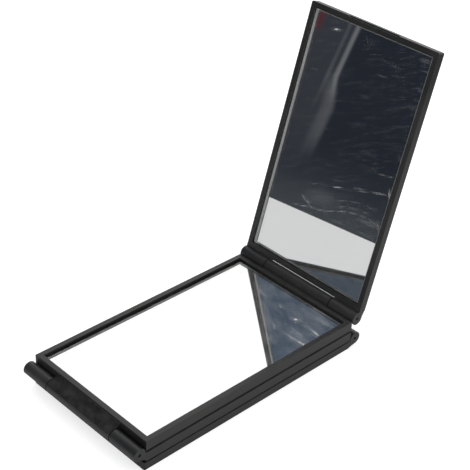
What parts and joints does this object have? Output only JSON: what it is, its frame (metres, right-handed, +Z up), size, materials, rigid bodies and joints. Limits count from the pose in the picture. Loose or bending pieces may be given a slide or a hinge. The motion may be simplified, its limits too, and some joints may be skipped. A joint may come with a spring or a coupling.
{
  "type": "four-way folding mirror",
  "caption": "Pocket-size folding mirror: framed rectangular mirrors hinged end to end in a zigzag, stacked, with the top cover standing open.",
  "frame": {"origin": "on the underside of the bottom cover, at the middle of the leaves' length and width", "axes": "+X along the leaves towards the end with the top and bottom hinges, +Y along the hinge pins, +Z up, away from the surface that the bottom cover rests on"},
  "size_m": [0.1809, 0.078, 0.1456],
  "materials": {
    "frame_plastic": "moulded, fine matte texture",
    "mirror_glass": "silvered float glass, chamfered edges",
    "foam_tape": "double-sided foam tape",
    "pin_steel": "drawn wire, chamfered ends"
  },
  "bodies": {
    "bottom_cover": {"bottom_cover_frame": "frame_plastic", "bottom_cover_tape": "foam_tape", "bottom_cover_mirror": "mirror_glass", "bottom_hinge_pin": "pin_steel"},
    "lower_leaf": {"lower_leaf_frame": "frame_plastic", "lower_leaf_tape": "foam_tape", "lower_leaf_mirror": "mirror_glass", "middle_hinge_pin": "pin_steel"},
    "upper_leaf": {"upper_leaf_frame": "frame_plastic", "upper_leaf_tape": "foam_tape", "upper_leaf_mirror": "mirror_glass"},
    "top_cover": {"top_cover_frame": "frame_plastic", "top_cover_tape": "foam_tape", "top_cover_mirror": "mirror_glass", "top_hinge_pin": "pin_steel"}
  },
  "joints": [
    {"name": "bottom_hinge", "type": "hinge", "parent": "bottom_cover", "child": "lower_leaf", "pos_m": [0.0686, 0, 0.00445], "axis": [0, 1, 0], "range_deg": [0, 180]},
    {"name": "middle_hinge", "type": "hinge", "parent": "lower_leaf", "child": "upper_leaf", "pos_m": [-0.0686, 0, 0.01025], "axis": [0, -1, 0], "range_deg": [0, 180]},
    {"name": "top_hinge", "type": "hinge", "parent": "upper_leaf", "child": "top_cover", "pos_m": [0.0686, 0, 0.01605], "axis": [0, 1, 0], "range_deg": [-105.6, 74.4]}
  ]
}
